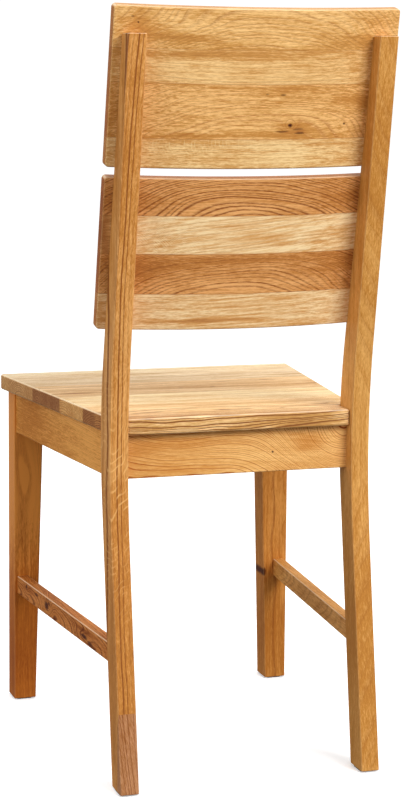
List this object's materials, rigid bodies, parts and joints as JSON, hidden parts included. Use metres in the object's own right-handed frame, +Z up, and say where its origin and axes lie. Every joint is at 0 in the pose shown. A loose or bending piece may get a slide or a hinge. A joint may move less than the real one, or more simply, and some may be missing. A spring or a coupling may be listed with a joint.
{
  "type": "dining chair",
  "caption": "Solid oak dining chair: tapered front legs, bent rear posts, a stave-built seat narrower at the back, side stretchers and a back of wide bowed panels.",
  "frame": {"origin": "on the floor, at the middle of the chair's outer box", "axes": "+Z up, -Y towards the front edge of the seat, +X towards the sitter's left"},
  "size_m": [0.4402, 0.5088, 0.9993],
  "materials": {
    "oak_frame": "oiled, satin",
    "oak_seat": "oiled, satin",
    "oak_back": "oiled, satin",
    "beech_dowel": "plain",
    "block_wood": "plain, sawn",
    "screw_steel": "zinc plated",
    "glide_felt": "dark, matt"
  },
  "bodies": {
    "root": {"front_leg_left": "oak_frame", "rear_post_left": "oak_frame", "front_leg_right": "oak_frame", "rear_post_right": "oak_frame", "rear_foot_block_left": "oak_frame", "front_apron": "oak_frame", "rear_apron": "oak_frame", "side_apron_left": "oak_frame", "side_apron_right": "oak_frame", "side_stretcher_left": "oak_frame", "side_stretcher_right": "oak_frame", "seat_stave_1": "oak_seat", "seat_stave_2": "oak_seat", "seat_stave_3": "oak_seat", "seat_stave_4": "oak_seat", "seat_stave_5": "oak_seat", "seat_stave_6": "oak_seat", "seat_stave_7": "oak_seat", "upper_back_stave_1": "oak_back", "upper_back_stave_2": "oak_back", "upper_back_stave_3": "oak_back", "upper_back_stave_4": "oak_back", "lower_back_stave_1": "oak_back", "lower_back_stave_2": "oak_back", "lower_back_stave_3": "oak_back", "lower_back_stave_4": "oak_back", "corner_block_front_left": "block_wood", "corner_block_front_right": "block_wood", "corner_block_rear_left": "block_wood", "corner_block_rear_right": "block_wood", "apron_dowels": "beech_dowel", "stretcher_dowels": "beech_dowel", "back_panel_dowels": "beech_dowel", "corner_block_screws": "screw_steel", "seat_screws": "screw_steel", "floor_glide_front_left": "glide_felt", "floor_glide_front_right": "glide_felt", "floor_glide_rear_left": "glide_felt", "floor_glide_rear_right": "glide_felt"}
  },
  "joints": []
}
